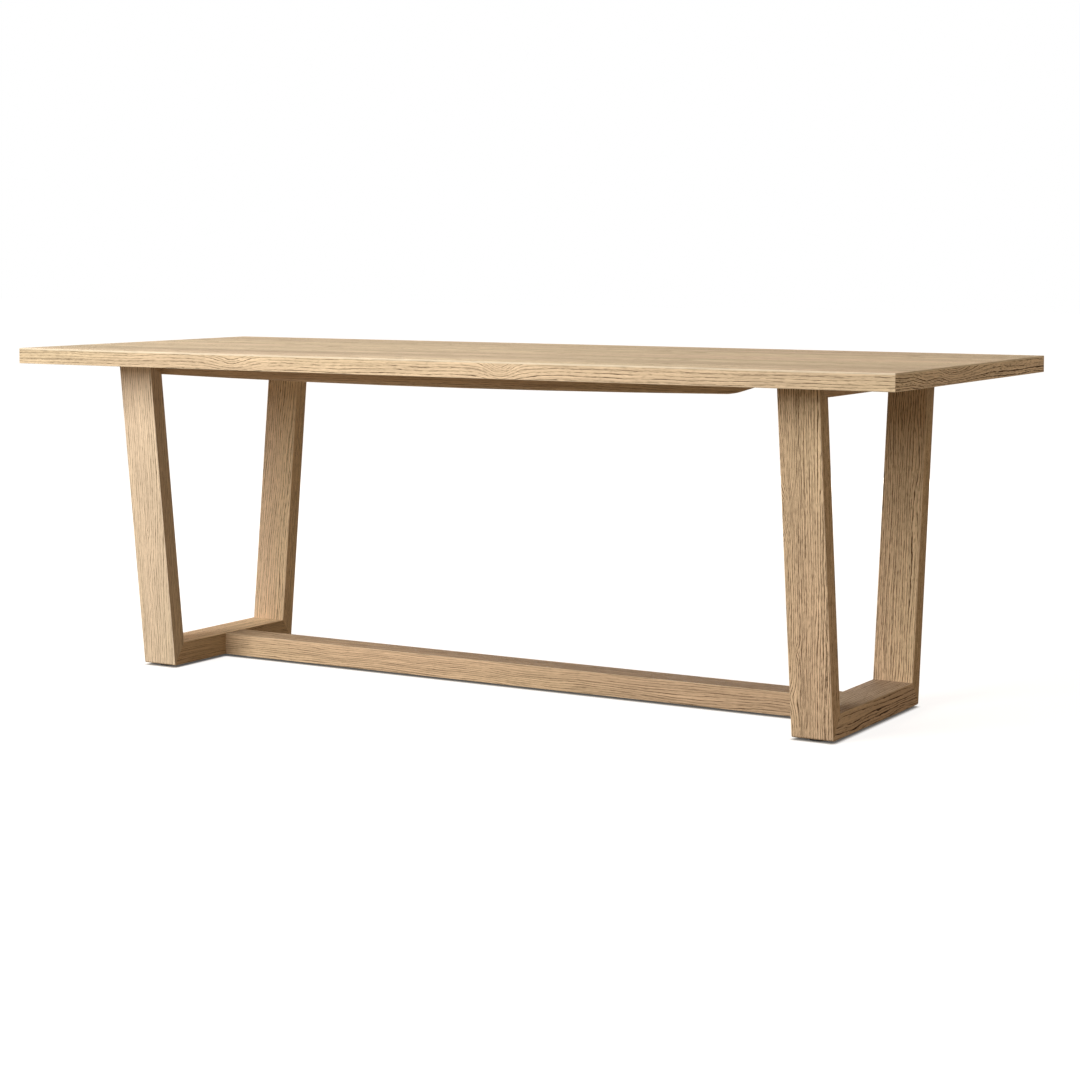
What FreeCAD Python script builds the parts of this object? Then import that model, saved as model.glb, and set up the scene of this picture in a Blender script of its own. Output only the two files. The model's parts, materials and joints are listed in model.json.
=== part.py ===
import FreeCAD, Part
import math
import os

from FreeCAD import Vector

# Trestle dining table in oak, in millimetres.
# The floor is Z = 0, the length runs along X, and the table's middle stands over the origin.
# The table looks the same after half a turn, so most pieces are made once and turned.

# Table top
TABLE_HEIGHT = 762.0
TOP_LENGTH = 2200.0
TOP_WIDTH = 852.0
TOP_THICKNESS = 36.0
FACE_VENEER = 3.0
BACKING_VENEER = 2.0
LIPPING_WIDTH = 32.0
TONGUE_THICKNESS = 6.0
TONGUE_WIDTH = 20.0
TONGUE_SETBACK = 25.0

# Trestles
END_OVERHANG = 206.25
SIDE_OVERHANG = 115.75
LEG_LEAN = 81.0
LEG_WIDTH = 92.5
LEG_THICKNESS = 39.5
BOTTOM_RAIL_HEIGHT = 51.7
TOP_RAIL_HEIGHT = 25.0
FLOOR_GAP = 5.0
FOOT_ROUND = 5.0
TENON_LENGTH = 20.0
TENON_WIDTH = 24.0
TENON_THICKNESS = 6.0
TENON_SPACING = 56.0
TENON_PLACE = 0.45

# Stretcher and its hidden joint
STRETCHER_WIDTH = 74.5
STRETCHER_HEIGHT = 50.5
DOWEL_RADIUS = 5.0
DOWEL_LENGTH = 60.0
DOWEL_SPACING = 48.0
HANGER_RADIUS = 4.0
HANGER_DEPTH = 35.0
POCKET_RADIUS = 15.0
POCKET_SETBACK = 55.0
POCKET_RISE = 12.0
MOON_FLAT = 9.0
MOON_HEIGHT = 20.0
NUT_FLATS = 13.0
NUT_THICKNESS = 6.5
HANGER_TAIL = 4.0

# Support rails under the top
SUPPORT_THICKNESS = 22.0
SUPPORT_BOW = 7.5
SUPPORT_SETBACK = 60.0
SUPPORT_TAPER = 61.0
SUPPORT_NOSE = 6.0
SUPPORT_ROUND = 80.0
SCREW_COUNT = 5
SCREW_INSET = 60.0
SCREW_RADIUS = 2.25
SCREW_BITE = 22.0
SCREW_GRIP = 13.0
SCREW_HEAD_RADIUS = 4.5
SCREW_HEAD_HEIGHT = 3.2
SCREW_SOCKET = 3.0

# Bolts that hold the top to the trestles
BOLT_SPACING = 52.0
BOLT_INSET = 78.0
BOLT_RADIUS = 4.0
BOLT_BITE = 15.0
BOLT_GRIP = 16.0
BOLT_HEAD_RADIUS = 7.0
BOLT_HEAD_HEIGHT = 4.4
BOLT_SOCKET = 5.0
WASHER_RADIUS = 11.0
WASHER_THICKNESS = 1.6
TOP_INSERT_LENGTH = 18.0
INSERT_WALL = 2.0

# Levelling feet
FOOT_INSET = 26.0
FOOT_TRAVEL = 10.0
RECESS_DEPTH = 10.0
RECESS_RADIUS = 18.0
PAD_RADIUS = 16.0
PAD_HEIGHT = 8.0
PAD_FLOOR = 2.5
PAD_EASE = 1.0
STEM_RADIUS = 4.0
STEM_DISC_RADIUS = 7.0
STEM_DISC_HEIGHT = 3.0
STEM_COLLAR_FLATS = 13.0
STEM_ENGAGEMENT = 11.0
FOOT_INSERT_LENGTH = 15.0

# Easing and clearances
ARRIS = 1.2
GLUE_GAP = 0.1
THREAD_GAP = 0.05
RUNNING_GAP = 0.05
BOLT_GAP = 0.5
SEAT_GAP = 0.3
END_GAP = 1.0

# Heights and places that follow from the sizes above
UNDERSIDE = TABLE_HEIGHT - TOP_THICKNESS
CORE_BOTTOM = UNDERSIDE + BACKING_VENEER
CORE_TOP = TABLE_HEIGHT - FACE_VENEER
CORE_MIDDLE = (CORE_BOTTOM + CORE_TOP) / 2
RAIL_TOP = FLOOR_GAP + BOTTOM_RAIL_HEIGHT
TOP_RAIL_BOTTOM = UNDERSIDE - TOP_RAIL_HEIGHT
TRESTLE_X = TOP_LENGTH / 2 - END_OVERHANG - LEG_WIDTH / 2
INNER_FACE = TRESTLE_X - LEG_WIDTH / 2
HEAD_Y = TOP_WIDTH / 2 - SIDE_OVERHANG
LEG_SLOPE = LEG_LEAN / (UNDERSIDE - FLOOR_GAP)
LEG_LEVEL_THICKNESS = LEG_THICKNESS * math.hypot(1, LEG_SLOPE)
STRETCHER_MIDDLE = FLOOR_GAP + STRETCHER_HEIGHT / 2
FOOT_Y = HEAD_Y - LEG_LEAN - FOOT_INSET
RECESS_TOP = FLOOR_GAP + RECESS_DEPTH
STEM_TOP = RECESS_TOP + FOOT_TRAVEL + STEM_ENGAGEMENT
BOLT_SEAT = UNDERSIDE - BOLT_GRIP
SCREW_SEAT = UNDERSIDE - SCREW_GRIP
TOP_INSERT_RADIUS = BOLT_RADIUS + INSERT_WALL
FOOT_INSERT_RADIUS = STEM_RADIUS + INSERT_WALL

X_AXIS = Vector(1, 0, 0)
Y_AXIS = Vector(0, 1, 0)
Z_AXIS = Vector(0, 0, 1)


# Shapes used by many pieces

def block(x_span, y_span, z_span):
    """Block between the low and high ends given for each axis."""
    corner = Vector(x_span[0], y_span[0], z_span[0])
    sides = [high - low for low, high in (x_span, y_span, z_span)]
    return Part.makeBox(*sides, corner)


def prism(points, along):
    """Solid made by carrying a closed straight-sided outline along a vector."""
    outline = Part.makePolygon([*points, points[0]])
    return Part.Face(outline).extrude(along)


def rod(radius, start, end):
    """Round bar between two points."""
    line = end - start
    return Part.makeCylinder(radius, line.Length, start, line)


def post(radius, x, y, low, high):
    """Upright round bar."""
    return rod(radius, Vector(x, y, low), Vector(x, y, high))


def hexagon(flats, low, high):
    """Upright hexagonal bar on the Z axis."""
    corner_radius = flats / 2 / math.cos(math.pi / 6)
    corners = []
    for step in range(6):
        angle = step * math.pi / 3
        corners.append(Vector(corner_radius * math.cos(angle), corner_radius * math.sin(angle), low))
    return prism(corners, Vector(0, 0, high - low))


def placed(shape, x=0.0, y=0.0, z=0.0):
    """Copy of a shape, moved."""
    copy = shape.copy()
    copy.translate(Vector(x, y, z))
    return copy


def turned(shape):
    """Copy of a shape, half a turn about the table's upright centre line."""
    copy = shape.copy()
    copy.rotate(Vector(0, 0, 0), Z_AXIS, 180)
    return copy


def both_ends(shapes):
    """The shapes given and the same shapes at the table's opposite end."""
    return [*shapes, *(turned(shape) for shape in shapes)]


def edges_along(shape, direction):
    """Straight edges of a solid that run in a direction."""
    along = Vector(direction).normalize()
    straight = [edge for edge in shape.Edges if edge.Curve.TypeId == "Part::GeomLine"]
    return [edge for edge in straight if edge.tangentAt(edge.FirstParameter).cross(along).Length < 1e-6]


def socket_screw(radius, length, head_radius, head_height, socket):
    """Screw that points up from under-head height Z = 0, with a hexagon socket in its head."""
    shank = post(radius, 0, 0, 0, length)
    head = post(head_radius, 0, 0, -head_height, 0)
    key_hole = hexagon(socket, -head_height, -head_height / 2)
    return head.fuse(shank).removeSplitter().cut(key_hole)


# Table top

def eased_slab():
    """The whole top as one slab with eased edges, from which its pieces are cut."""
    slab = block(
        (-TOP_LENGTH / 2, TOP_LENGTH / 2),
        (-TOP_WIDTH / 2, TOP_WIDTH / 2),
        (UNDERSIDE, TABLE_HEIGHT),
    )
    return slab.makeFillet(ARRIS, slab.Edges)


def top_inside(low, high):
    """The space inside the four lippings, between two heights."""
    half_length = TOP_LENGTH / 2 - LIPPING_WIDTH
    half_width = TOP_WIDTH / 2 - LIPPING_WIDTH
    return block((-half_length, half_length), (-half_width, half_width), (low, high))


def long_tongue(gap=0.0):
    """Loose tongue between the core and the front lipping, or its groove."""
    half_length = TOP_LENGTH / 2 - LIPPING_WIDTH - TONGUE_SETBACK + gap
    joint = -TOP_WIDTH / 2 + LIPPING_WIDTH
    reach = TONGUE_WIDTH / 2 + gap
    half = TONGUE_THICKNESS / 2 + gap
    return block(
        (-half_length, half_length),
        (joint - reach, joint + reach),
        (CORE_MIDDLE - half, CORE_MIDDLE + half),
    )


def short_tongue(gap=0.0):
    """Loose tongue between the core and the left lipping, or its groove."""
    half_width = TOP_WIDTH / 2 - LIPPING_WIDTH - TONGUE_SETBACK + gap
    joint = -TOP_LENGTH / 2 + LIPPING_WIDTH
    reach = TONGUE_WIDTH / 2 + gap
    half = TONGUE_THICKNESS / 2 + gap
    return block(
        (joint - reach, joint + reach),
        (-half_width, half_width),
        (CORE_MIDDLE - half, CORE_MIDDLE + half),
    )


def front_lipping(slab):
    """Mitred oak lipping along the front edge, under the face veneer."""
    x, y, width = TOP_LENGTH / 2, TOP_WIDTH / 2, LIPPING_WIDTH
    outline = [
        Vector(-x, -y, UNDERSIDE),
        Vector(x, -y, UNDERSIDE),
        Vector(x - width, -y + width, UNDERSIDE),
        Vector(-x + width, -y + width, UNDERSIDE),
    ]
    bar = prism(outline, Vector(0, 0, CORE_TOP - UNDERSIDE))
    return bar.common(slab).cut(long_tongue(GLUE_GAP))


def left_lipping(slab):
    """Mitred oak lipping along the left end, under the face veneer."""
    x, y, width = TOP_LENGTH / 2, TOP_WIDTH / 2, LIPPING_WIDTH
    outline = [
        Vector(-x, -y, UNDERSIDE),
        Vector(-x + width, -y + width, UNDERSIDE),
        Vector(-x + width, y - width, UNDERSIDE),
        Vector(-x, y, UNDERSIDE),
    ]
    bar = prism(outline, Vector(0, 0, CORE_TOP - UNDERSIDE))
    return bar.common(slab).cut(short_tongue(GLUE_GAP))


def bolt_places():
    """Middles of the top fixing bolts of the left trestle."""
    bolt_y = inner_y(TOP_RAIL_BOTTOM) - BOLT_INSET
    places = []
    for x in (-BOLT_SPACING / 2, BOLT_SPACING / 2):
        for y in (-bolt_y, bolt_y):
            places.append((x - TRESTLE_X, y))
    return places


def top_drillings():
    """Holes in the underside of the top for the inserts and the support rail screws."""
    holes = []
    for x, y in bolt_places():
        depth = UNDERSIDE + TOP_INSERT_LENGTH + END_GAP
        holes.append(post(TOP_INSERT_RADIUS + GLUE_GAP, x, y, UNDERSIDE, depth))
    for x, y in screw_places():
        depth = UNDERSIDE + SCREW_BITE + END_GAP
        holes.append(post(SCREW_RADIUS + THREAD_GAP, x, y, UNDERSIDE, depth))
    return both_ends(holes)


def core_panel():
    """Engineered panel inside the lippings."""
    grooves = both_ends([long_tongue(GLUE_GAP), short_tongue(GLUE_GAP)])
    return top_inside(CORE_BOTTOM, CORE_TOP).cut([*grooves, *top_drillings()])


def backing_veneer():
    """Veneer on the panel's underside, flush with the lippings."""
    return top_inside(UNDERSIDE, CORE_BOTTOM).cut(top_drillings())


def face_veneer(slab):
    """Sawn oak face over the panel and the lippings."""
    return slab.common(block(
        (-TOP_LENGTH / 2, TOP_LENGTH / 2),
        (-TOP_WIDTH / 2, TOP_WIDTH / 2),
        (CORE_TOP, TABLE_HEIGHT),
    ))


# Trestles, modelled at the left end

def outer_y(height):
    """Half the trestle's outside width at a height."""
    return HEAD_Y - LEG_SLOPE * (UNDERSIDE - height)


def inner_y(height):
    """Half the width between the legs at a height."""
    return outer_y(height) - LEG_LEVEL_THICKNESS


def across_trestle(y, height):
    """Point on the outer face of the left trestle."""
    return Vector(-TRESTLE_X - LEG_WIDTH / 2, y, height)


def trestle_blank():
    """The trestle's outside as one solid, with its two foot corners rounded."""
    foot = outer_y(FLOOR_GAP)
    head = outer_y(UNDERSIDE)
    blank = prism([
        across_trestle(-foot, FLOOR_GAP),
        across_trestle(foot, FLOOR_GAP),
        across_trestle(head, UNDERSIDE),
        across_trestle(-head, UNDERSIDE),
    ], X_AXIS * LEG_WIDTH)
    foot_edges = [edge for edge in edges_along(blank, X_AXIS) if edge.CenterOfMass.z < RAIL_TOP]
    return blank.makeFillet(FOOT_ROUND, foot_edges)


def mitre_ends():
    """The inner and outer ends of the rear mitres, at the foot and at the head of the leg."""
    foot = (
        Vector(-TRESTLE_X, inner_y(RAIL_TOP), RAIL_TOP),
        Vector(-TRESTLE_X, outer_y(FLOOR_GAP), FLOOR_GAP),
    )
    head = (
        Vector(-TRESTLE_X, inner_y(TOP_RAIL_BOTTOM), TOP_RAIL_BOTTOM),
        Vector(-TRESTLE_X, outer_y(UNDERSIDE), UNDERSIDE),
    )
    return foot, head


def loose_tenon(gap=0.0, end_gap=0.0):
    """Flat tenon with rounded sides, lying along Z with its middle at the origin, or its mortise."""
    length = TENON_LENGTH + 2 * end_gap
    half_thickness = TENON_THICKNESS / 2 + gap
    half_flat = (TENON_WIDTH - TENON_THICKNESS) / 2
    flat = block((-half_flat, half_flat), (-half_thickness, half_thickness), (-length / 2, length / 2))
    sides = [post(half_thickness, x, 0, -length / 2, length / 2) for x in (-half_flat, half_flat)]
    return flat.fuse(sides).removeSplitter()


def rear_tenons(gap=0.0, end_gap=0.0):
    """The tenons across the two rear mitres of the left trestle, or their mortises."""
    tenons = []
    for inner, outer in mitre_ends():
        line = outer - inner
        middle = inner + line * TENON_PLACE
        tilt = math.degrees(math.atan2(line.z, line.y))
        for x in (-TENON_SPACING / 2, TENON_SPACING / 2):
            tenon = loose_tenon(gap, end_gap)
            tenon.rotate(Vector(0, 0, 0), X_AXIS, tilt)
            tenons.append(placed(tenon, middle.x + x, middle.y, middle.z))
    return tenons


def about_trestle(shape):
    """Copy of a shape, half a turn about the left trestle's upright centre line."""
    copy = shape.copy()
    copy.rotate(Vector(-TRESTLE_X, 0, 0), Z_AXIS, 180)
    return copy


def trestle_mortises():
    """All tenon mortises of the left trestle."""
    rear = rear_tenons(GLUE_GAP, END_GAP)
    return [*rear, *(about_trestle(mortise) for mortise in rear)]


def foot_drillings():
    """Recess, insert hole and stem hole of each levelling foot of the left trestle."""
    holes = []
    for y in (-FOOT_Y, FOOT_Y):
        insert_top = RECESS_TOP + FOOT_INSERT_LENGTH
        holes.append(post(RECESS_RADIUS, -TRESTLE_X, y, 0, RECESS_TOP))
        holes.append(post(FOOT_INSERT_RADIUS + GLUE_GAP, -TRESTLE_X, y, RECESS_TOP, insert_top))
        holes.append(post(STEM_RADIUS + BOLT_GAP, -TRESTLE_X, y, insert_top, STEM_TOP + END_GAP))
    return holes


def rear_leg(blank):
    """Slanted leg, mitred to the rails at both ends."""
    (foot_inner, foot_outer), (head_inner, head_outer) = mitre_ends()
    outline = [
        across_trestle(point.y, point.z)
        for point in (foot_outer, head_outer, head_inner, foot_inner)
    ]
    leg = prism(outline, X_AXIS * LEG_WIDTH).common(blank)
    leg = leg.makeFillet(ARRIS, edges_along(leg, Vector(0, LEG_SLOPE, 1)))
    return leg.cut([*trestle_mortises(), *foot_drillings()])


def bottom_rail(blank):
    """Rail along the floor, with the feet under its ends and the stretcher on its inner face."""
    foot = outer_y(FLOOR_GAP)
    shoulder = inner_y(RAIL_TOP)
    rail = prism([
        across_trestle(-foot, FLOOR_GAP),
        across_trestle(foot, FLOOR_GAP),
        across_trestle(shoulder, RAIL_TOP),
        across_trestle(-shoulder, RAIL_TOP),
    ], X_AXIS * LEG_WIDTH).common(blank)
    rail = rail.makeFillet(ARRIS, edges_along(rail, Y_AXIS))
    return rail.cut([*trestle_mortises(), *foot_drillings(), *stretcher_joint_holes()])


def top_rail():
    """Thin rail under the top, with the top fixing bolts sunk in its underside."""
    shoulder = inner_y(TOP_RAIL_BOTTOM)
    head = outer_y(UNDERSIDE)
    rail = prism([
        across_trestle(-shoulder, TOP_RAIL_BOTTOM),
        across_trestle(shoulder, TOP_RAIL_BOTTOM),
        across_trestle(head, UNDERSIDE),
        across_trestle(-head, UNDERSIDE),
    ], X_AXIS * LEG_WIDTH)
    lower_edges = [edge for edge in edges_along(rail, Y_AXIS) if edge.CenterOfMass.z < UNDERSIDE - ARRIS]
    rail = rail.makeFillet(ARRIS, lower_edges)
    holes = []
    for x, y in bolt_places():
        holes.append(post(WASHER_RADIUS + BOLT_GAP, x, y, TOP_RAIL_BOTTOM - END_GAP, BOLT_SEAT))
        holes.append(post(BOLT_RADIUS + BOLT_GAP, x, y, BOLT_SEAT, UNDERSIDE))
    return rail.cut([*trestle_mortises(), *holes])


# Stretcher, with its joint modelled at the left end

def along_stretcher(distance, y=0.0):
    """Point at the stretcher's mid height, a distance in from its left end."""
    return Vector(distance - INNER_FACE, y, STRETCHER_MIDDLE)


def dowel_places():
    """Distances of the two dowels from the stretcher's centre line."""
    return (-DOWEL_SPACING / 2, DOWEL_SPACING / 2)


def stretcher_joint_holes():
    """Holes for the hanger bolt's screw end and the dowels, in the left bottom rail's inner face."""
    bolt_end = along_stretcher(-HANGER_DEPTH - END_GAP)
    holes = [rod(HANGER_RADIUS + THREAD_GAP, bolt_end, along_stretcher(0))]
    for y in dowel_places():
        dowel_end = along_stretcher(-DOWEL_LENGTH / 2 - END_GAP, y)
        holes.append(rod(DOWEL_RADIUS + GLUE_GAP, dowel_end, along_stretcher(0, y)))
    return holes


def stretcher_end_holes():
    """Bolt bore, nut pocket and dowel holes in the stretcher's left end."""
    pocket = along_stretcher(POCKET_SETBACK)
    pocket_top = STRETCHER_MIDDLE + POCKET_RISE
    holes = [
        rod(HANGER_RADIUS + BOLT_GAP, along_stretcher(0), pocket),
        post(POCKET_RADIUS, pocket.x, pocket.y, 0, pocket_top),
    ]
    for y in dowel_places():
        dowel_end = along_stretcher(DOWEL_LENGTH / 2 + END_GAP, y)
        holes.append(rod(DOWEL_RADIUS + GLUE_GAP, along_stretcher(0, y), dowel_end))
    return holes


def stretcher():
    """Low bar laid flat between the two trestles."""
    bar = block(
        (-INNER_FACE, INNER_FACE),
        (-STRETCHER_WIDTH / 2, STRETCHER_WIDTH / 2),
        (FLOOR_GAP, FLOOR_GAP + STRETCHER_HEIGHT),
    )
    bar = bar.makeFillet(ARRIS, edges_along(bar, X_AXIS))
    return bar.cut(both_ends(stretcher_end_holes()))


def hanger_bolt():
    """Bolt screwed into the bottom rail, reaching through the stretcher's end to the pocket."""
    nut_face = POCKET_SETBACK - MOON_FLAT + NUT_THICKNESS
    return rod(HANGER_RADIUS, along_stretcher(-HANGER_DEPTH), along_stretcher(nut_face + HANGER_TAIL))


def moon_washer():
    """Half-moon washer between the pocket's round wall and the nut."""
    pocket = along_stretcher(POCKET_SETBACK)
    low = STRETCHER_MIDDLE - MOON_HEIGHT / 2
    high = STRETCHER_MIDDLE + MOON_HEIGHT / 2
    disc = post(POCKET_RADIUS - GLUE_GAP, pocket.x, pocket.y, low, high)
    wall_side = block(
        (pocket.x - POCKET_RADIUS, pocket.x - MOON_FLAT),
        (-POCKET_RADIUS, POCKET_RADIUS),
        (low, high),
    )
    hole = rod(HANGER_RADIUS + BOLT_GAP, along_stretcher(0), pocket)
    return disc.common(wall_side).cut(hole)


def hanger_nut():
    """Hexagon nut on the hanger bolt, against the half-moon washer."""
    nut = hexagon(NUT_FLATS, 0, NUT_THICKNESS)
    nut = nut.cut(post(HANGER_RADIUS + THREAD_GAP, 0, 0, 0, NUT_THICKNESS))
    nut.rotate(Vector(0, 0, 0), Y_AXIS, 90)
    seat = along_stretcher(POCKET_SETBACK - MOON_FLAT)
    return placed(nut, seat.x, seat.y, seat.z)


def stretcher_dowels():
    """Dowels at the stretcher's left end."""
    dowels = []
    for y in dowel_places():
        start = along_stretcher(-DOWEL_LENGTH / 2, y)
        dowels.append(rod(DOWEL_RADIUS, start, along_stretcher(DOWEL_LENGTH / 2, y)))
    return dowels


# Support rails, modelled at the front

def support_front():
    """Front face of the front support rail, in line with the legs' inner corners."""
    return -inner_y(TOP_RAIL_BOTTOM)


def taper_start():
    """Where the front support rail's lower edge starts to rise."""
    return INNER_FACE - SUPPORT_SETBACK - SUPPORT_TAPER


def screw_places():
    """Middles of the front support rail's screws."""
    first = -INNER_FACE + SCREW_INSET
    step = (taper_start() - SCREW_INSET - first) / (SCREW_COUNT - 1)
    y = support_front() + SUPPORT_THICKNESS / 2
    return [(first + index * step, y) for index in range(SCREW_COUNT)]


def is_lower_arris(edge):
    """Whether an edge of the support rail runs along its length below the nose."""
    return edge.BoundBox.XLength > edge.BoundBox.YLength and edge.CenterOfMass.z < UNDERSIDE - SUPPORT_NOSE


def support_rail():
    """Shallow rail with a bowed lower edge, butted to the left trestle and tapered at its right end."""
    y = support_front()
    tip = INNER_FACE - SUPPORT_SETBACK
    bow_middle = Vector((taper_start() - INNER_FACE) / 2, y, TOP_RAIL_BOTTOM - SUPPORT_BOW)
    corners = [
        Vector(-INNER_FACE, y, UNDERSIDE),
        Vector(-INNER_FACE, y, TOP_RAIL_BOTTOM),
        Vector(taper_start(), y, TOP_RAIL_BOTTOM),
        Vector(tip, y, UNDERSIDE - SUPPORT_NOSE),
        Vector(tip, y, UNDERSIDE),
    ]
    sides = [
        Part.LineSegment(corners[0], corners[1]),
        Part.Arc(corners[1], bow_middle, corners[2]),
        Part.LineSegment(corners[2], corners[3]),
        Part.LineSegment(corners[3], corners[4]),
        Part.LineSegment(corners[4], corners[0]),
    ]
    outline = Part.Wire([side.toShape() for side in sides])
    rail = Part.Face(outline).extrude(Y_AXIS * SUPPORT_THICKNESS)
    bend = min(edges_along(rail, Y_AXIS), key=lambda edge: edge.CenterOfMass.distanceToPoint(corners[2]))
    rail = rail.makeFillet(SUPPORT_ROUND, [bend])
    lower_edges = [edge for edge in rail.Edges if is_lower_arris(edge)]
    rail = rail.makeFillet(ARRIS, lower_edges)
    holes = []
    for x, screw_y in screw_places():
        below = TOP_RAIL_BOTTOM - SUPPORT_BOW - END_GAP
        holes.append(post(SCREW_HEAD_RADIUS + BOLT_GAP, x, screw_y, below, SCREW_SEAT))
        holes.append(post(SCREW_RADIUS + BOLT_GAP, x, screw_y, SCREW_SEAT, UNDERSIDE))
    return rail.cut(holes)


def support_screws():
    """Screws up through the front support rail into the top."""
    length = SCREW_GRIP + SCREW_BITE
    screw = socket_screw(SCREW_RADIUS, length, SCREW_HEAD_RADIUS, SCREW_HEAD_HEIGHT, SCREW_SOCKET)
    return [placed(screw, x, y, SCREW_SEAT) for x, y in screw_places()]


# Top fixings of the left trestle

def ring(outer_radius, inner_radius, low, high):
    """Upright tube on the Z axis."""
    return post(outer_radius, 0, 0, low, high).cut(post(inner_radius, 0, 0, low, high))


def top_bolts():
    """Socket bolts up through the top rail into the inserts."""
    length = WASHER_THICKNESS + BOLT_GRIP + BOLT_BITE
    bolt = socket_screw(BOLT_RADIUS, length, BOLT_HEAD_RADIUS, BOLT_HEAD_HEIGHT, BOLT_SOCKET)
    return [placed(bolt, x, y, BOLT_SEAT - WASHER_THICKNESS) for x, y in bolt_places()]


def top_washers():
    """Washers between the bolt heads and the top rail."""
    washer = ring(WASHER_RADIUS, BOLT_RADIUS + BOLT_GAP, BOLT_SEAT - WASHER_THICKNESS, BOLT_SEAT)
    return [placed(washer, x, y) for x, y in bolt_places()]


def top_inserts():
    """Threaded inserts in the underside of the top."""
    insert = ring(TOP_INSERT_RADIUS, BOLT_RADIUS + THREAD_GAP, UNDERSIDE, UNDERSIDE + TOP_INSERT_LENGTH)
    return [placed(insert, x, y) for x, y in bolt_places()]


# Levelling feet, modelled on the Z axis

def foot_pad():
    """Round pad that holds the stem's disc in a socket."""
    pad = post(PAD_RADIUS, 0, 0, 0, PAD_HEIGHT)
    rims = [edge for edge in pad.Edges if edge.Curve.TypeId == "Part::GeomCircle"]
    pad = pad.makeFillet(PAD_EASE, rims)
    socket_top = PAD_FLOOR + STEM_DISC_HEIGHT + 2 * RUNNING_GAP
    socket = post(STEM_DISC_RADIUS + RUNNING_GAP, 0, 0, PAD_FLOOR, socket_top)
    mouth = post(STEM_RADIUS + BOLT_GAP, 0, 0, socket_top, PAD_HEIGHT)
    return pad.cut([socket, mouth])


def foot_stem():
    """Screwed stem with a disc held in the pad and a hexagon collar for a spanner."""
    disc_low = PAD_FLOOR + RUNNING_GAP
    disc = post(STEM_DISC_RADIUS, 0, 0, disc_low, disc_low + STEM_DISC_HEIGHT)
    shank = post(STEM_RADIUS, 0, 0, disc_low, STEM_TOP)
    collar = hexagon(STEM_COLLAR_FLATS, PAD_HEIGHT + SEAT_GAP, RECESS_TOP - SEAT_GAP)
    return shank.fuse([disc, collar]).removeSplitter()


def foot_insert():
    """Threaded insert over the recess."""
    insert_top = RECESS_TOP + FOOT_INSERT_LENGTH
    return ring(FOOT_INSERT_RADIUS, STEM_RADIUS + THREAD_GAP, RECESS_TOP, insert_top)


# The whole table

def table_pieces():
    """Every piece by name."""
    slab = eased_slab()
    blank = trestle_blank()
    tenons = rear_tenons()
    leg = rear_leg(blank)
    pieces = {
        "top_core_panel": core_panel(),
        "top_face_veneer": face_veneer(slab),
        "underside_backing_veneer": backing_veneer(),
        "front_edge_lipping": front_lipping(slab),
        "left_edge_lipping": left_lipping(slab),
        "lipping_tongues": both_ends([long_tongue(), short_tongue()]),
        "left_rear_leg": leg,
        "left_front_leg": about_trestle(leg),
        "left_bottom_rail": bottom_rail(blank),
        "left_top_rail": top_rail(),
        "left_corner_tenons": [*tenons, *(about_trestle(tenon) for tenon in tenons)],
        "stretcher": stretcher(),
        "stretcher_dowels": both_ends(stretcher_dowels()),
        "stretcher_hanger_bolts": both_ends([hanger_bolt()]),
        "stretcher_moon_washers": both_ends([moon_washer()]),
        "stretcher_nuts": both_ends([hanger_nut()]),
        "front_support_rail": support_rail(),
        "support_rail_screws": both_ends(support_screws()),
        "top_fixing_bolts": both_ends(top_bolts()),
        "top_fixing_washers": both_ends(top_washers()),
        "top_threaded_inserts": both_ends(top_inserts()),
        "foot_threaded_inserts": both_ends([
            placed(foot_insert(), -TRESTLE_X, y) for y in (-FOOT_Y, FOOT_Y)
        ]),
    }
    for name, y in (("left_front", -FOOT_Y), ("left_rear", FOOT_Y)):
        pieces[name + "_foot_pad"] = placed(foot_pad(), -TRESTLE_X, y)
        pieces[name + "_foot_stem"] = placed(foot_stem(), -TRESTLE_X, y)
    return pieces


def opposite_name(name):
    """Name of the piece that stands opposite after half a turn of the table."""
    swaps = {"left": "right", "right": "left", "front": "rear", "rear": "front"}
    return "_".join(swaps.get(word, word) for word in name.split("_"))


def export(name, shape):
    """Write a piece, or a group of like pieces, to its own file."""
    if isinstance(shape, list):
        shape = Part.makeCompound(shape)
    shape.exportStep("parts/" + name + ".step")


def main():
    os.makedirs("parts", exist_ok=True)
    for name, shape in table_pieces().items():
        export(name, shape)
        opposite = opposite_name(name)
        if opposite != name:
            shapes = shape if isinstance(shape, list) else [shape]
            export(opposite, Part.makeCompound([turned(each) for each in shapes]))


main()
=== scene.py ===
import json
import math
from typing import NamedTuple

import bmesh
import bpy
from mathutils import Matrix, Vector


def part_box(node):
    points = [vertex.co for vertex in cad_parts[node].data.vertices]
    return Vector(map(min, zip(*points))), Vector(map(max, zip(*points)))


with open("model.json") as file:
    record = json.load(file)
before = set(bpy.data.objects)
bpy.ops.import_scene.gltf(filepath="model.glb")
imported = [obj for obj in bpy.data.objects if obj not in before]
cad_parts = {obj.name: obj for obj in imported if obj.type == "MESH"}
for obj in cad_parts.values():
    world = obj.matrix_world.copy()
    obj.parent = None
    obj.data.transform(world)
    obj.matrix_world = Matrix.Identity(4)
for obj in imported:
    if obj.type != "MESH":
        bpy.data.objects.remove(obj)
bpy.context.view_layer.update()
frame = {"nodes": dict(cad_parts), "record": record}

# Trestle dining table in oiled oak, in metres, in the frame's own place.
NODES = frame["nodes"]


# Node trees

# The sockets of a Mix node that mixes colours
MIX_FACTOR = 0
MIX_LOW = 6
MIX_HIGH = 7
MIX_RESULT = 2


class Streak(NamedTuple):
    """Noise drawn out along X: its cells to the metre along and across, its detail, and where it is cut."""
    along: float
    across: float
    detail: float
    offset: float = 0.0


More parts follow.
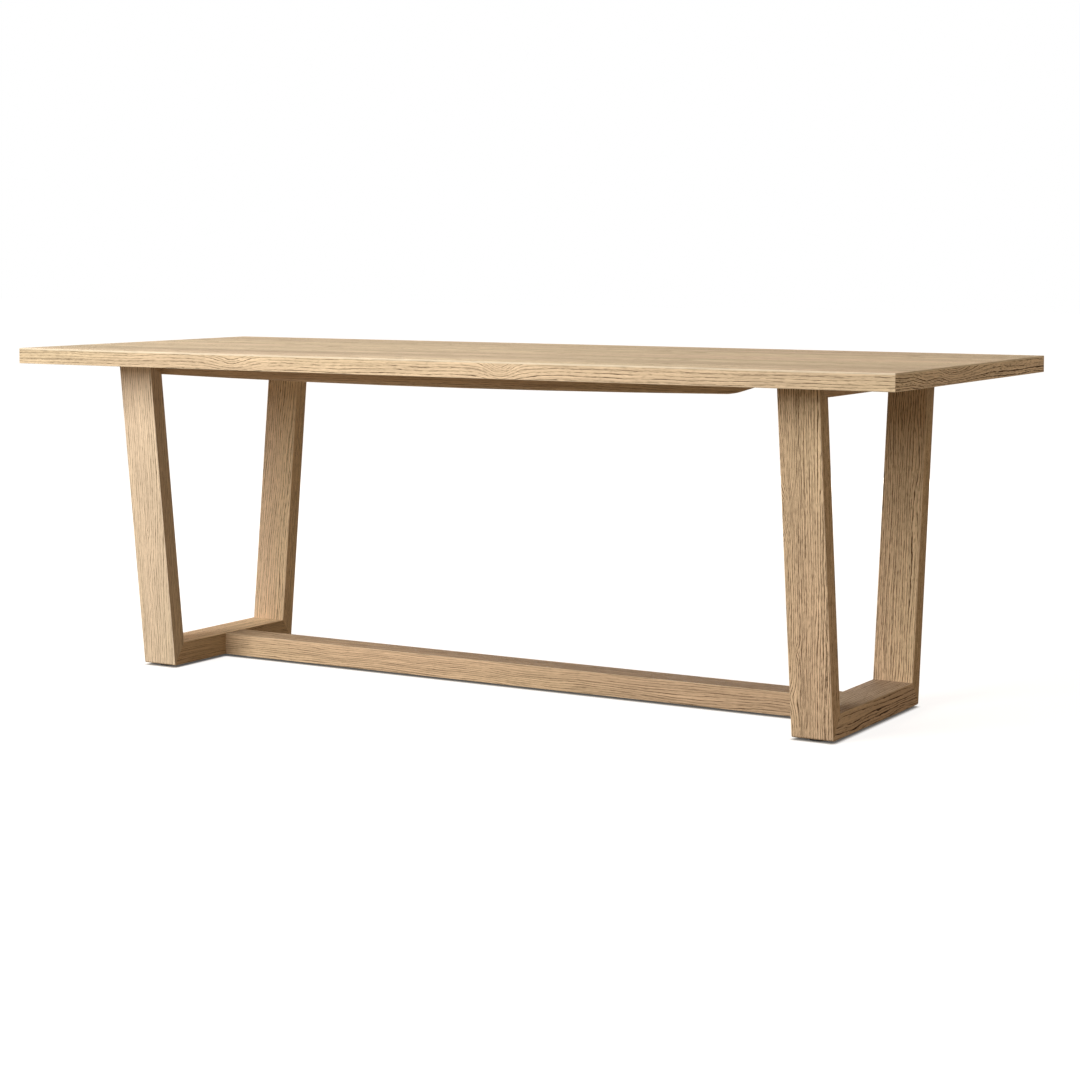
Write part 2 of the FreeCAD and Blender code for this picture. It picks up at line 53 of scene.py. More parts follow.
class Shade:
    """A socket of a node tree. Arithmetic on it adds Math nodes."""

    def __init__(self, tree, socket=None):
        self.tree = tree
        self.socket = socket

    def node(self, kind, settings, inputs, output=0):
        """Add a node: its settings first, then the values or links of its sockets."""
        added = self.tree.nodes.new(kind)
        for name, value in settings.items():
            setattr(added, name, value)
        for key, value in inputs.items():
            if isinstance(value, Shade):
                self.tree.links.new(value.socket, added.inputs[key])
            else:
                added.inputs[key].default_value = value
        return Shade(self.tree, added.outputs[output]) if added.outputs else None

    def beside(self, output):
        """Another output of the same node."""
        return Shade(self.tree, self.socket.node.outputs[output])

    def math(self, operation, *values):
        return self.node("ShaderNodeMath", {"operation": operation}, dict(enumerate(values)))

    def vector(self, operation, *values):
        return self.node("ShaderNodeVectorMath", {"operation": operation}, dict(enumerate(values)))

    def __add__(self, other):
        return self.math("ADD", self, other)

    __radd__ = __add__

    def __sub__(self, other):
        return self.math("SUBTRACT", self, other)

    def __rsub__(self, other):
        return self.math("SUBTRACT", other, self)

    def __mul__(self, other):
        return self.math("MULTIPLY", self, other)

    __rmul__ = __mul__

    def __truediv__(self, other):
        return self.math("DIVIDE", self, other)

    def __pow__(self, other):
        return self.math("POWER", self, other)

    def __abs__(self):
        return self.math("ABSOLUTE", self)

    def larger(self, other):
        return self.math("MAXIMUM", self, other)

    def smaller(self, other):
        return self.math("MINIMUM", self, other)

    def exponential(self):
        return self.math("EXPONENT", self)

    def floor(self):
        return self.math("FLOOR", self)

    def fraction(self):
        return self.math("FRACT", self)

    def step(self, low, high):
        """Smooth rise from 0 to 1 between two values."""
        inputs = {"Value": self, "From Min": low, "From Max": high}
        return self.node("ShaderNodeMapRange", {"interpolation_type": "SMOOTHSTEP"}, inputs)

    def between(self, low, high):
        """The low number where this mask is 0, the high one where it is 1."""
        return self * (high - low) + low

    def mix(self, low, high):
        """The low colour where this mask is 0, the high one where it is 1."""
        inputs = {MIX_FACTOR: self, MIX_LOW: low, MIX_HIGH: high}
        return self.node("ShaderNodeMix", {"data_type": "RGBA"}, inputs, MIX_RESULT)

    def scaled(self, factor):
        """A colour or vector times a number or a mask."""
        return self.node("ShaderNodeVectorMath", {"operation": "SCALE"}, {0: self, "Scale": factor})

    def length(self):
        return self.node("ShaderNodeVectorMath", {"operation": "LENGTH"}, {0: self}, "Value")

    def split(self):
        """The three parts of a vector."""
        x = self.node("ShaderNodeSeparateXYZ", {}, {0: self})
        return x, x.beside(1), x.beside(2)

    def joined(self, y, z):
        """A vector from three parts, of which this is the first."""
        return self.node("ShaderNodeCombineXYZ", {}, {0: self, 1: y, 2: z})

    def drawn(self):
        """A random number for each whole number."""
        return self.node("ShaderNodeTexWhiteNoise", {"noise_dimensions": "1D"}, {"W": self})

    def streaks(self, look, seed=0.0):
        """Noise at this place, drawn out along X."""
        cells = (look.along, look.across, look.across)
        cut = seed + look.offset
        stretched = self.vector("MULTIPLY_ADD", self, cells, (cut, cut, cut))
        inputs = {"Vector": stretched, "Scale": 1.0, "Detail": look.detail}
        return self.node("ShaderNodeTexNoise", {"noise_dimensions": "3D"}, inputs)


def colour(rgb, tone=(1.0, 1.0, 1.0)):
    """Linear colour with full cover, toned part by part."""
    return (*(part * share for part, share in zip(rgb, tone)), 1.0)


def new_material(name):
    """Empty material and a way into its node tree."""
    material = bpy.data.materials.new(name)
    material.use_nodes = True
    material.node_tree.nodes.clear()
    return material, Shade(material.node_tree)


def object_place(start):
    return start.node("ShaderNodeTexCoord", {}, {}, "Object")


def put_on(node, material):
    """Give a node's mesh one material."""
    materials = NODES[node].data.materials
    materials.clear()
    materials.append(material)


def surface(start, base, roughness, height, depth, **constants):
    """Finish a material from its colour, roughness and relief."""
    relief = start.node("ShaderNodeBump", {}, {"Height": height, "Distance": depth, "Strength": 1.0})
    sockets = {"Base Color": base, "Roughness": roughness, "Normal": relief}
    for name, value in constants.items():
        sockets[name.replace("_", " ")] = value
    shader = start.node("ShaderNodeBsdfPrincipled", {}, sockets)
    start.node("ShaderNodeOutputMaterial", {}, {"Surface": shader})


# Oak boards

class Spot(NamedTuple):
    """A place on a board's face, how much it adds there, and how far it spreads."""
    along: float
    across: float
    amount: float
    length: float
    width: float


class Board(NamedTuple):
    """An oak board: how its grain and face run, where its tree's pith lay, what its wood is like, and the
    light and shade painted on it.
    """
    node: str
    along: Vector
    across: Vector
    pith: tuple
    drift: tuple
    ring: float
    tone: tuple
    grain: float
    seed: float
    knots: tuple = ()
    # Patches of painted light
    painted_light_patches: tuple = ()
    # Painted shade on the upper face, or painted light there where below 0
    painted_top_shade: float = 0.0
    dashes: float = 1.0


class Pores(NamedTuple):
    """A set of pore lines: lines to a ring, where they rise in it, dashes to the metre, and their cut."""
    rate: float
    rise: tuple
    dashes: float
    offset: float


# Ways that the grain and the faces of the boards run
LENGTHWISE = Vector((1, 0, 0))
CROSSWISE = Vector((0, 1, 0))
UPRIGHT = Vector((0, 0, 1))
LEG_SLANT = math.radians(6.41)
LEG_THICKNESS = 0.0395
FRONT_LEG_WAY = Vector((0, -math.sin(LEG_SLANT), math.cos(LEG_SLANT)))
REAR_LEG_WAY = Vector((0, math.sin(LEG_SLANT), math.cos(LEG_SLANT)))

# Linear colours of oak
LATE_WOOD = (0.675, 0.522, 0.342)
ROSY_WOOD = (0.665, 0.490, 0.335)
EARLY_WOOD = (0.545, 0.405, 0.252)
PORE = (0.070, 0.038, 0.017)
# Colour of the painted highlight along eased arrises
ARRIS_HIGHLIGHT = (0.800, 0.650, 0.460)

# Tones of the boards, as shares of those colours
YELLOW = (0.95, 0.99, 0.98)
BUFF = (0.94, 0.98, 0.97)
STRAW = (0.92, 0.99, 1.06)
LIGHT = (1.15, 1.23, 1.32)
PALE = (1.06, 1.11, 1.19)
FAIR = (1.20, 1.21, 1.21)
GOLDEN = (1.02, 1.00, 0.97)
BROWN = (0.97, 0.94, 0.90)
TAN = (0.89, 0.86, 0.82)
DUSKY = (0.90, 0.90, 0.93)

# Growth rings
WANDER = Streak(2.6, 11.0, 2.0)
WANDER_REACH = (0.0, 0.024, 0.024)
RAGGED = Streak(16.0, 130.0, 2.0, 3.0)
RAGGED_RINGS = 0.7
SPOT_POINT = 0.8

# Pores
PORES = Pores(rate=1.0, rise=(0.74, 0.93), dashes=33.0, offset=7.0)
FINE_PORES = Pores(rate=1.73, rise=(0.62, 0.86), dashes=42.0, offset=11.0)
DASHES_ACROSS = 480.0
DASH_ENDS = (0.38, 0.54)
DASH_GAP = 0.15
RING_STRENGTH = (0.4, 1.1)
SPECKS = Streak(70.0, 5.0, 1.0, 13.0)
SPECK_EDGE = (0.54, 0.66)
FLAT_RINGS = (0.02, 0.35)
FLAT_GRAIN = 0.45

# Fibre and colour of the wood
FIBRE = Streak(6.0, 300.0, 3.0, 17.0)
CLOUD = Streak(1.7, 11.0, 2.0, 23.0)
BLUSH = Streak(0.9, 6.0, 1.0, 29.0)
BLUSH_EDGE = (0.35, 0.65)
EARLY_SHARE = 0.5
FIBRE_SHARE = 0.80
CLOUD_SHARE = 0.30
EVEN_SHARE = 0.48
FINE_PORE_SHARE = 0.65
SPECK_SHARE = 0.22
# Share of the painted arris highlight
ARRIS_HIGHLIGHT_SHARE = 0.7

# Surface of oiled oak
OILED_ROUGHNESS = 0.66
PORE_ROUGHNESS = 0.12
FIBRE_ROUGHNESS = 0.14
FIBRE_HEIGHT = 0.25
FINE_PORE_DEPTH = 0.5
SPECK_DEPTH = 0.4
OAK_RELIEF = 0.0003
OAK_GLOSS = 0.02

# Eased edges, painted shade or painted light on the upper faces of rails, and veneer leaves
ARRIS = 0.0011
# Noise that breaks up the painted shade on upper faces
TOP_SHADE_NOISE = Streak(5.0, 40.0, 2.0, 31.0)
TOP_SHADE_BASE = 0.5
LEAF_WIDTH = 0.142
LEAF_SHIFT_ALONG = 2.6
LEAF_SHIFT_ASIDE = 0.06
LEAF_SHADES = (0.92, 1.12)

BARS = [
    Board("front_edge_lipping", LENGTHWISE, UPRIGHT, pith=(-0.11, -0.04), drift=(0.010, 0.0), ring=0.0060,
          tone=BUFF, grain=0.95, seed=1.0, dashes=1.3,
          knots=(Spot(0.228, 0.024, 6.0, 0.030, 0.032), Spot(-0.470, 0.000, 2.5, 0.060, 0.030)),
          # A pool of painted light along part of the front edge
          painted_light_patches=(Spot(0.17, 0.0, 0.14, 0.40, 1.0),)),
    Board("rear_edge_lipping", LENGTHWISE, UPRIGHT, pith=(-0.10, 0.03), drift=(-0.008, 0.0), ring=0.0040,
          tone=YELLOW, grain=0.95, seed=41.0,
          knots=(Spot(-0.350, 0.020, 4.0, 0.055, 0.022),)),
    Board("left_edge_lipping", CROSSWISE, UPRIGHT, pith=(0.10, 0.05), drift=(0.012, 0.0), ring=0.0044,
          tone=YELLOW, grain=1.0, seed=81.0,
          knots=(Spot(0.110, 0.018, -4.0, 0.060, 0.024),)),
    Board("right_edge_lipping", CROSSWISE, UPRIGHT, pith=(0.10, -0.04), drift=(-0.012, 0.0), ring=0.0062,
          tone=LIGHT, grain=1.90, seed=121.0,
          knots=(Spot(-0.105, 0.026, -5.0, 0.080, 0.026), Spot(-0.340, 0.004, 0.5, 0.028, 0.024),
                 Spot(-0.270, -0.004, -0.6, 0.030, 0.024), Spot(-0.200, 0.006, 0.6, 0.028, 0.022),
                 Spot(-0.140, -0.008, -0.5, 0.030, 0.022))),
    Board("left_front_leg", FRONT_LEG_WAY, LENGTHWISE, pith=(0.105, 0.070), drift=(0.025, 0.03), ring=0.0046,
          tone=PALE, grain=0.80, seed=161.0,
          knots=(Spot(0.017, -0.012, -1.2, 0.020, 0.008), Spot(-0.060, -0.008, -1.3, 0.026, 0.009),
                 Spot(-0.110, -0.006, -1.1, 0.020, 0.008), Spot(-0.175, -0.010, -1.3, 0.026, 0.009))),
    Board("left_rear_leg", REAR_LEG_WAY, LENGTHWISE, pith=(0.095, 0.080), drift=(0.015, 0.02), ring=0.0044,
          tone=FAIR, grain=1.05, seed=201.0),
    Board("right_front_leg", FRONT_LEG_WAY, LENGTHWISE, pith=(0.120, 0.070), drift=(0.015, 0.02), ring=0.0042,
          tone=GOLDEN, grain=1.85, seed=241.0,
          knots=(Spot(-0.277, -0.044, -2.2, 0.026, 0.014), Spot(-0.178, -0.026, -1.2, 0.016, 0.008),
                 Spot(0.225, -0.048, 3.0, 0.040, 0.020), Spot(0.115, -0.046, 5.0, 0.045, 0.026))),
    Board("right_rear_leg", REAR_LEG_WAY, LENGTHWISE, pith=(0.110, 0.080), drift=(-0.015, 0.02), ring=0.0040,
          tone=BROWN, grain=1.75, seed=281.0,
          knots=(Spot(0.160, 0.036, 1.5, 0.070, 0.010), Spot(0.020, 0.040, 1.4, 0.060, 0.010),
                 Spot(-0.110, 0.036, 1.4, 0.080, 0.010))),
    # The bottom rails carry painted shade or painted light on their upper faces
    Board("left_bottom_rail", CROSSWISE, LENGTHWISE, pith=(0.09, 0.09), drift=(0.02, 0.01), ring=0.0036,
          tone=GOLDEN, grain=0.9, seed=321.0, painted_top_shade=-0.20, dashes=0.5),
    Board("right_bottom_rail", CROSSWISE, LENGTHWISE, pith=(-0.09, 0.10), drift=(0.01, 0.01), ring=0.0046,
          tone=DUSKY, grain=1.05, seed=361.0, painted_top_shade=0.26, dashes=0.5),
    Board("left_top_rail", CROSSWISE, LENGTHWISE, pith=(0.09, 0.09), drift=(0.02, 0.01), ring=0.0036,
          tone=BROWN, grain=0.8, seed=401.0),
    Board("right_top_rail", CROSSWISE, LENGTHWISE, pith=(0.09, 0.09), drift=(0.02, 0.01), ring=0.0036,
          tone=BROWN, grain=0.8, seed=441.0),
    # The stretcher carries painted shade on its upper face
    Board("stretcher", LENGTHWISE, CROSSWISE, pith=(0.08, -0.09), drift=(0.01, 0.01), ring=0.0036,
          tone=TAN, grain=0.85, seed=481.0, painted_top_shade=0.35, dashes=0.35,
          # A pool of painted light on the stretcher's left part
          painted_light_patches=(Spot(-0.35, 0.0, 0.17, 0.45, 1.0),)),
    Board("front_support_rail", LENGTHWISE, UPRIGHT, pith=(0.09, 0.06), drift=(0.01, 0.01), ring=0.0040,
          tone=BROWN, grain=0.6, seed=521.0),
    Board("rear_support_rail", LENGTHWISE, UPRIGHT, pith=(0.09, 0.06), drift=(0.01, 0.01), ring=0.0040,
          tone=BROWN, grain=0.6, seed=561.0),
]
VENEERS = [
    Board("top_face_veneer", LENGTHWISE, CROSSWISE, pith=(0.01, -0.12), drift=(0.015, 0.028), ring=0.0044,
          tone=STRAW, grain=0.8, seed=601.0,
          # A pool of painted light near the front of the top
          painted_light_patches=(Spot(0.15, -0.36, 0.20, 0.40, 0.09),)),
    Board("underside_backing_veneer", LENGTHWISE, CROSSWISE, pith=(0.02, 0.12), drift=(0.015, -0.028),
          ring=0.0048, tone=BROWN, grain=0.7, seed=641.0),
]


def box_middle(node):
    low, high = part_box(node)
    return (low + high) / 2


def leg_middle(node):
    """Middle of a slanted leg, on the centre line of its thickness."""
    low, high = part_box(node)
    middle = (low + high) / 2
    lean = math.tan(LEG_SLANT) * (high.z - low.z) / 2
    reach = max(abs(low.y), abs(high.y)) - lean - LEG_THICKNESS / math.cos(LEG_SLANT) / 2
    return Vector((middle.x, math.copysign(reach, middle.y), middle.z))


def board_place(start, middle, board):
    """Object coordinates seen from a board: X along its grain, Y across its face, Z through it."""
    through = board.along.cross(board.across)
    turn = Matrix((board.along, board.across, through)).transposed().to_euler()
    inputs = {"Vector": object_place(start), "Location": middle, "Rotation": turn}
    return start.node("ShaderNodeMapping", {"vector_type": "TEXTURE"}, inputs)


def added_by(spot, place):
    """What a spot adds around it: rings, where it is a knot, or painted light, where it is a patch."""
    x, y, z = place.split()
    along = (x - spot.along) / spot.length
    across = (y - spot.across) / spot.width
    spread = (along * along + across * across) ** SPOT_POINT
    return (spread * -1).exponential() * spot.amount


def ring_count(place, board):
    """How many growth rings lie between the pith and a place, and how steeply they cut the face."""
    wander = place.streaks(WANDER, board.seed).beside("Color")
    x, y, z = place.vector("MULTIPLY_ADD", wander, WANDER_REACH, place).split()
    aside = y - x * board.drift[0] - board.pith[0]
    behind = z - x * board.drift[1] - board.pith[1]
    radius = (aside * aside + behind * behind) ** 0.5
    count = radius / board.ring
    for knot in board.knots:
        count = count + added_by(knot, place)
    count = count + place.streaks(RAGGED, board.seed) * RAGGED_RINGS
    return count, abs(aside) / radius


def pore_lines(place, count, board, pores):
    """Dark lines at the start of each ring, broken into dashes, and a number drawn for each ring."""
    count = count * pores.rate
    line = (1 - count.fraction()).step(*pores.rise)
    dashes = Streak(pores.dashes * board.dashes, DASHES_ACROSS, 1.0, pores.offset)
    broken = place.streaks(dashes, board.seed).step(*DASH_ENDS)
    draw = (count.floor() + (board.seed + pores.offset)).drawn()
    return line * broken.between(DASH_GAP, 1.0), draw


def oak_finish(start, place, board, painted_highlight, lift):
    """Colour, roughness and relief of oiled oak, with a painted highlight on the arrises and the painted
    light and shade that lift brings.
    """
    count, steepness = ring_count(place, board)
    pores, draw = pore_lines(place, count, board, PORES)
    pores = pores * draw.between(*RING_STRENGTH)
    fine_pores, draw = pore_lines(place, count, board, FINE_PORES)
    fine_pores = fine_pores * draw
    x, y, z = place.split()
    specks = x.joined(count, 0.0).streaks(SPECKS, board.seed).step(*SPECK_EDGE)
    early = 1 - count.fraction()
    fibre = place.streaks(FIBRE, board.seed)
    cloud = place.streaks(CLOUD, board.seed)
    blush = place.streaks(BLUSH, board.seed).step(*BLUSH_EDGE)
    wood = blush.mix(colour(LATE_WOOD, board.tone), colour(ROSY_WOOD, board.tone))
    wood = (early * EARLY_SHARE).mix(wood, colour(EARLY_WOOD, board.tone))
    wood = wood.scaled((fibre * FIBRE_SHARE + cloud * CLOUD_SHARE + EVEN_SHARE) * lift)
    depth = steepness.step(*FLAT_RINGS).between(FLAT_GRAIN, 1.0)
    dark = (pores + fine_pores * FINE_PORE_SHARE + specks * SPECK_SHARE) * depth * board.grain
    wood = dark.smaller(1.0).mix(wood, colour(PORE, board.tone))
    # Painted highlight along the arrises
    wood = (painted_highlight * ARRIS_HIGHLIGHT_SHARE).mix(wood, colour(ARRIS_HIGHLIGHT, board.tone))
    roughness = pores * PORE_ROUGHNESS + fibre * FIBRE_ROUGHNESS + OILED_ROUGHNESS
    height = fibre * FIBRE_HEIGHT - pores - fine_pores * FINE_PORE_DEPTH - specks * SPECK_DEPTH
    surface(start, wood, roughness, height, OAK_RELIEF, Specular_IOR_Level=OAK_GLOSS)


def near_edge(distance, half):
    """Mask of what lies within an arris of a face that is half a size away."""
    return (distance - half).step(-ARRIS, -ARRIS / 2)


def with_painted_light(lift, place, board):
    """A board's lightness, with its patches of painted light added."""
    return sum((added_by(light_pool, place) for light_pool in board.painted_light_patches), lift)


def bar_halves(board, slanted):
    """Half the width and half the thickness of a bar."""
    low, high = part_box(board.node)
    size = high - low
    half_width = abs(size.dot(board.across)) / 2
    if slanted:
        return half_width, LEG_THICKNESS / 2
    through = board.along.cross(board.across)
    return half_width, abs(size.dot(through)) / 2


def upper_face_painted_shade(place, board, half_thickness):
    """Painted shade on a bar's upper face, broken up by noise, or painted light there where the amount is
    below 0.
    """
    x, y, z = place.split()
    height = z * math.copysign(1.0, board.along.cross(board.across).z)
    upper = near_edge(height, half_thickness)
    shade_noise = place.streaks(TOP_SHADE_NOISE, board.seed) + TOP_SHADE_BASE
    return 1 - upper * shade_noise * board.painted_top_shade


def oak_bar(board):
    material, start = new_material(board.node + "_oak")
    slanted = board.node.endswith("_leg")
    middle = leg_middle(board.node) if slanted else box_middle(board.node)
    place = board_place(start, middle, board)
    half_width, half_thickness = bar_halves(board, slanted)
    # Patches of painted light lift the board
    lift = with_painted_light(1.0, place, board)
    # Painted shade, or painted light, on the bar's upper face
    if board.painted_top_shade:
        lift = lift * upper_face_painted_shade(place, board, half_thickness)
    x, y, z = place.split()
    # Painted highlight on the arrises along the bar
    painted_highlight = near_edge(abs(y), half_width) * near_edge(abs(z), half_thickness)
    oak_finish(start, place, board, painted_highlight, lift)
    put_on(board.node, material)


def leaf_place(place, seed):
    """Coordinates of a veneer laid in leaves side by side, each leaf from another part of the tree."""
    x, y, z = place.split()
    number = (y / LEAF_WIDTH + 0.5).floor()
    draw = (number + seed).drawn().beside("Color")
    shift_x, shift_y, shift_z = draw.split()
    inside = y - number * LEAF_WIDTH + shift_y * LEAF_SHIFT_ASIDE
    depth = z + shift_z * LEAF_SHIFT_ASIDE
    return (x + shift_x * LEAF_SHIFT_ALONG).joined(inside, depth), shift_x


def oak_veneer(board):
    material, start = new_material(board.node + "_oak")
    place = board_place(start, box_middle(board.node), board)
    leaf, draw = leaf_place(place, board.seed)
    low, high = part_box(board.node)
    half = (high - low) / 2
    x, y, z = place.split()
    # Painted highlight along the veneer's edges
    painted_highlight = near_edge(abs(x), half.x).larger(near_edge(abs(y), half.y))
    lift = with_painted_light(draw.between(*LEAF_SHADES), place, board)
    oak_finish(start, leaf, board, painted_highlight, lift)
    put_on(board.node, material)


# Hidden boards and metal

BEECH_WOOD = (0.66, 0.47, 0.32)
BEECH_FLECK = (0.47, 0.30, 0.19)
BEECH_FLECKS = Streak(160.0, 1400.0, 1.0)
BEECH_FLECK_EDGE = (0.56, 0.68)
BEECH_FLECK_SHARE = 0.5
BEECH_CLOUD = Streak(20.0, 60.0, 2.0, 5.0)
BEECH_SHADES = (0.85, 1.15)
BEECH_ROUGHNESS = (0.50, 0.70)
CORE_PALE = (0.70, 0.55, 0.36)
CORE_DARK = (0.55, 0.40, 0.24)
CORE_STRIP = 0.024
CORE_GRAIN = Streak(6.0, 420.0, 3.0)
CORE_SHADES = (0.85, 1.10)
CORE_ROUGHNESS = (0.55, 0.75)
RAW_RELIEF = 0.0002
ZINC = (0.62, 0.63, 0.65)
DULL_ZINC = (0.48, 0.48, 0.47)
BRASS = (0.72, 0.53, 0.24)
DULL_BRASS = (0.55, 0.39, 0.17)
TURNING_MARKS = Streak(900.0, 900.0, 2.0)
METAL_CLOUD = Streak(90.0, 90.0, 3.0, 9.0)
METAL_ROUGHNESS = 0.22
TURNED_ROUGHNESS = 0.16
DULLED_ROUGHNESS = 0.14
METAL_RELIEF = 0.00003
BLACKENED = (0.030, 0.030, 0.032)
RUBBED_BLACK = (0.075, 0.072, 0.070)
BLACKENED_CLOUD = Streak(160.0, 160.0, 3.0)
BLACKENED_ROUGHNESS = (0.32, 0.52)
BLACKENED_METAL = 0.6
NYLON_BLACK = (0.022, 0.022, 0.023)
NYLON_SCUFFED = (0.050, 0.049, 0.047)
NYLON_GRAIN = Streak(1500.0, 1500.0, 2.0)
NYLON_CLOUD = Streak(60.0, 60.0, 2.0, 5.0)
NYLON_ROUGHNESS = (0.42, 0.62)
NYLON_RELIEF = 0.00006


def beech():
    """Raw beech of the dowels, tenons and tongues: pale pink with short flecks."""
    material, start = new_material("beech")
    place = object_place(start)
    flecks = place.streaks(BEECH_FLECKS).step(*BEECH_FLECK_EDGE)
    cloud = place.streaks(BEECH_CLOUD)
    base = (flecks * BEECH_FLECK_SHARE).mix(colour(BEECH_WOOD), colour(BEECH_FLECK))
    base = base.scaled(cloud.between(*BEECH_SHADES))
    surface(start, base, cloud.between(*BEECH_ROUGHNESS), cloud - flecks, RAW_RELIEF)
    return material


def core_board():
    """Glued strips of softwood in the core panel."""
    material, start = new_material("core_board")
    place = object_place(start)
    x, y, z = place.split()
    strip = (y / CORE_STRIP).floor().drawn()
    grain = place.streaks(CORE_GRAIN)
    base = grain.mix(colour(CORE_PALE), colour(CORE_DARK)).scaled(strip.between(*CORE_SHADES))
    surface(start, base, grain.between(*CORE_ROUGHNESS), grain, RAW_RELIEF)
    return material


def metal(name, bright, dull):
    """Plated or plain metal with fine turning marks."""
    material, start = new_material(name)
    place = object_place(start)
    marks = place.streaks(TURNING_MARKS)
    cloud = place.streaks(METAL_CLOUD)
    base = cloud.mix(colour(bright), colour(dull))
    roughness = marks * TURNED_ROUGHNESS + cloud * DULLED_ROUGHNESS + METAL_ROUGHNESS
    surface(start, base, roughness, marks, METAL_RELIEF, Metallic=1.0)
    return material


def black_finish():
    """Blackened screw heads."""
    material, start = new_material("black_screw")
    cloud = object_place(start).streaks(BLACKENED_CLOUD)
    base = cloud.mix(colour(BLACKENED), colour(RUBBED_BLACK))
    roughness = cloud.between(*BLACKENED_ROUGHNESS)
    surface(start, base, roughness, cloud, METAL_RELIEF, Metallic=BLACKENED_METAL)
    return material


def nylon():
    """Moulded nylon of the foot pads."""
    material, start = new_material("pad_plastic")
    place = object_place(start)
    grain = place.streaks(NYLON_GRAIN)
    cloud = place.streaks(NYLON_CLOUD)
    base = cloud.mix(colour(NYLON_BLACK), colour(NYLON_SCUFFED))
    surface(start, base, grain.between(*NYLON_ROUGHNESS), grain, NYLON_RELIEF)
    return material


def dress_nodes():
    """A finish on every node."""
    for board in BARS:
        oak_bar(board)
    for board in VENEERS:
        oak_veneer(board)
    finishes = {
        "beech": beech(),
        "core_board": core_board(),
        "zinc_steel": metal("zinc_steel", ZINC, DULL_ZINC),
        "brass": metal("brass", BRASS, DULL_BRASS),
        "black_screw": black_finish(),
        "pad_plastic": nylon(),
    }
    for part in frame["record"]["subparts"]:
        if part["material_slot"] in finishes:
            put_on(part["node"], finishes[part["material_slot"]])


# Camera at the photograph's viewing angle

CAMERA_PLACE = (2.7758, -4.5506, 0.9956)
CAMERA_PITCH = math.radians(3.5)
CAMERA_YAW = 0.5362
CAMERA_LENS = 78.40
CAMERA_SENSOR = 36.0
CAMERA_SHIFT = -0.1368


def make_camera():
    data = bpy.data.cameras.new("photo_camera")
    data.sensor_width = CAMERA_SENSOR
    data.lens = CAMERA_LENS
    data.shift_y = CAMERA_SHIFT
    camera = bpy.data.objects.new("photo_camera", data)
    camera.location = CAMERA_PLACE
    camera.rotation_euler = (math.pi / 2 - CAMERA_PITCH, 0.0, CAMERA_YAW)
    bpy.context.scene.collection.objects.link(camera)
    bpy.context.scene.camera = camera


# Studio

class Lamp(NamedTuple):
    """A softbox: where it hangs, what it points at, its size, its watts and its light."""
    name: str
    place: Vector
    aim: Vector
    width: float
    height: float
    power: float
    light: tuple


NEUTRAL = (1.0, 1.0, 1.0)
WARM = (1.0, 0.89, 0.74)
TABLE_HEART = Vector((0.0, 0.0, 0.45))
BELOW_OVERHEAD = Vector((0.0, 0.3, 0.0))
LAMPS = [
    Lamp("front_softbox", place=Vector((-1.5, -4.5, 2.9)), aim=TABLE_HEART,
         width=2.4, height=3.4, power=322.0, light=NEUTRAL),
    Lamp("left_softbox", place=Vector((-4.2, 0.3, 2.4)), aim=TABLE_HEART,
         width=2.0, height=2.0, power=75.0, light=NEUTRAL),
    Lamp("right_softbox", place=Vector((3.2, 0.2, 1.0)), aim=TABLE_HEART,
         width=1.6, height=1.6, power=10.0, light=WARM),
    Lamp("rear_softbox", place=Vector((-1.7, 4.8, 0.42)), aim=TABLE_HEART,
         width=3.0, height=0.6, power=65.0, light=NEUTRAL),
    Lamp("overhead_softbox", place=Vector((0.0, 0.3, 3.6)), aim=BELOW_OVERHEAD,
         width=3.0, height=1.6, power=24.0, light=NEUTRAL),
]
FILL_COLOUR = (0.215, 0.140, 0.075, 1.0)
WHITE = (1.0, 1.0, 1.0, 1.0)
BLACK = (0.0, 0.0, 0.0, 1.0)
FLOOR_REACH = 30.0
FLOOR_COLOUR = (0.30, 0.27, 0.23, 1.0)
FLOOR_GLOW = 0.90
FLOOR_FADE = (1.2, 3.2)
CONTACT_REACH = 0.010
CONTACT_SAMPLES = 8


def hang_lamp(lamp):
    data = bpy.data.lights.new(lamp.name, "AREA")
    data.shape = "RECTANGLE"
    data.size = lamp.width
    data.size_y = lamp.height
    data.energy = lamp.power
    data.color = lamp.light
    hung = bpy.data.objects.new(lamp.name, data)
    hung.location = lamp.place
    hung.visible_camera = False
    hung.rotation_euler = (lamp.aim - lamp.place).to_track_quat("-Z", "Y").to_euler()
    bpy.context.scene.collection.objects.link(hung)


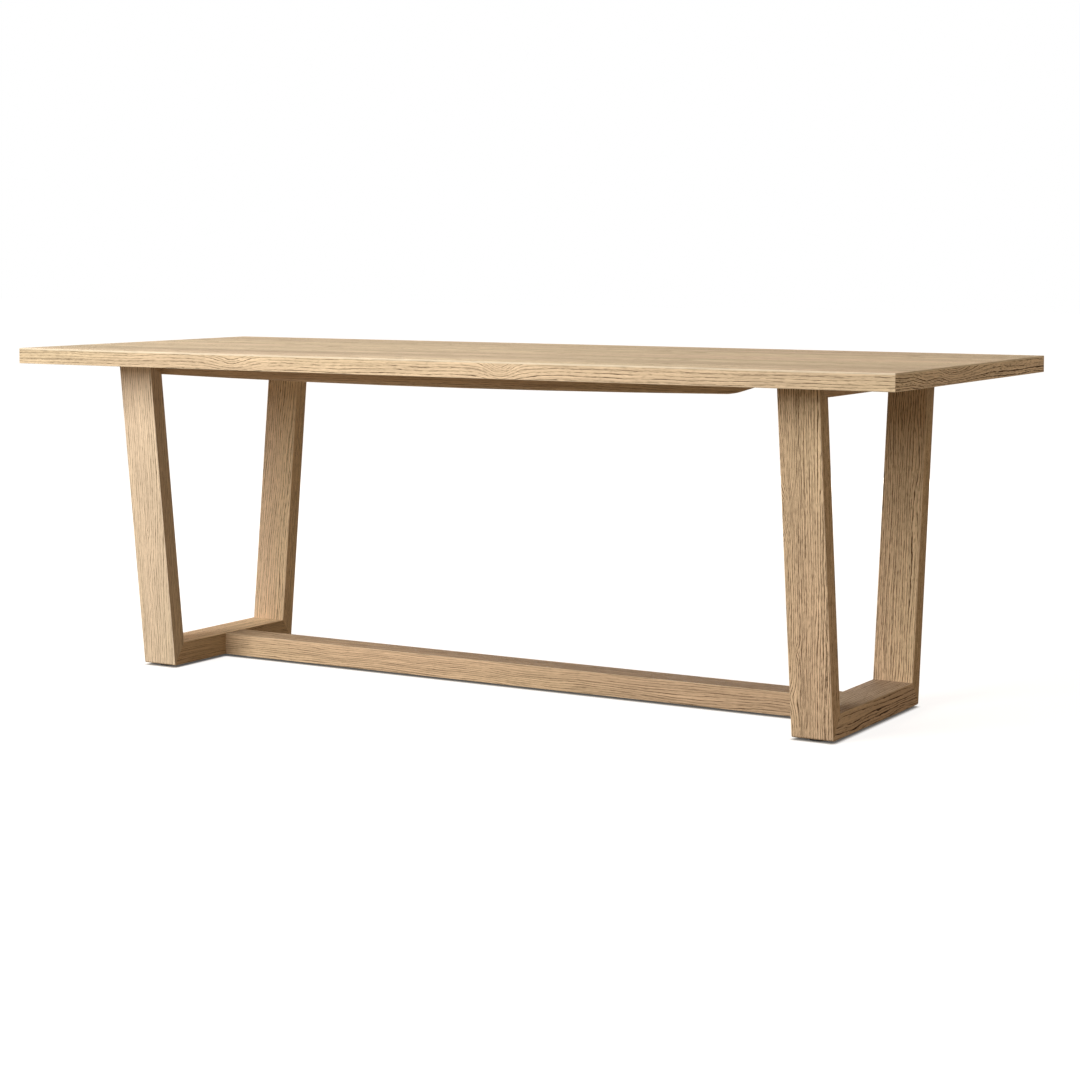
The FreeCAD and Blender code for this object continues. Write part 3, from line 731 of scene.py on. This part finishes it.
def seen_directly(start):
    """1 for rays from the camera and from gloss or glass, 0 for light that spreads."""
    path = start.node("ShaderNodeLightPath", {}, {}, "Is Camera Ray")
    return path.larger(path.beside("Is Glossy Ray").larger(path.beside("Is Transmission Ray")))


def make_world():
    """White to look at, and a dim warm light from all round."""
    world = bpy.data.worlds.new("studio")
    world.use_nodes = True
    world.node_tree.nodes.clear()
    start = Shade(world.node_tree)
    light = seen_directly(start).mix(FILL_COLOUR, WHITE)
    background = start.node("ShaderNodeBackground", {}, {"Color": light, "Strength": 1.0})
    start.node("ShaderNodeOutputWorld", {}, {"Surface": background})
    bpy.context.scene.world = world


def floor_finish():
    """A floor that takes the shadows and looks white, with a painted contact shadow that darkens its glow
    where something all but touches it.
    """
    material, start = new_material("pale_floor")
    diffuse = start.node("ShaderNodeBsdfDiffuse", {}, {"Color": FLOOR_COLOUR})
    distance = object_place(start).length()
    contact = {"Distance": CONTACT_REACH}
    open_sky = start.node("ShaderNodeAmbientOcclusion", {"samples": CONTACT_SAMPLES}, contact, "AO")
    # Painted contact shadow: ambient occlusion darkens the glow
    white = distance.step(*FLOOR_FADE).between(FLOOR_GLOW, 1.0) * open_sky * open_sky
    glow = start.node("ShaderNodeEmission", {}, {"Color": white.mix(BLACK, WHITE), "Strength": 1.0})
    shown = start.node("ShaderNodeAddShader", {}, {0: diffuse, 1: glow})
    shader = start.node("ShaderNodeMixShader", {}, {0: seen_directly(start), 1: diffuse, 2: shown})
    start.node("ShaderNodeOutputMaterial", {}, {"Surface": shader})
    return material


def make_floor():
    shape = bmesh.new()
    bmesh.ops.create_grid(shape, x_segments=1, y_segments=1, size=FLOOR_REACH)
    mesh = bpy.data.meshes.new("floor")
    shape.to_mesh(mesh)
    shape.free()
    mesh.materials.append(floor_finish())
    floor = bpy.data.objects.new("floor", mesh)
    bpy.context.scene.collection.objects.link(floor)


dress_nodes()
make_camera()
for lamp in LAMPS:
    hang_lamp(lamp)
make_world()
make_floor()
bpy.context.scene.view_settings.view_transform = "Standard"
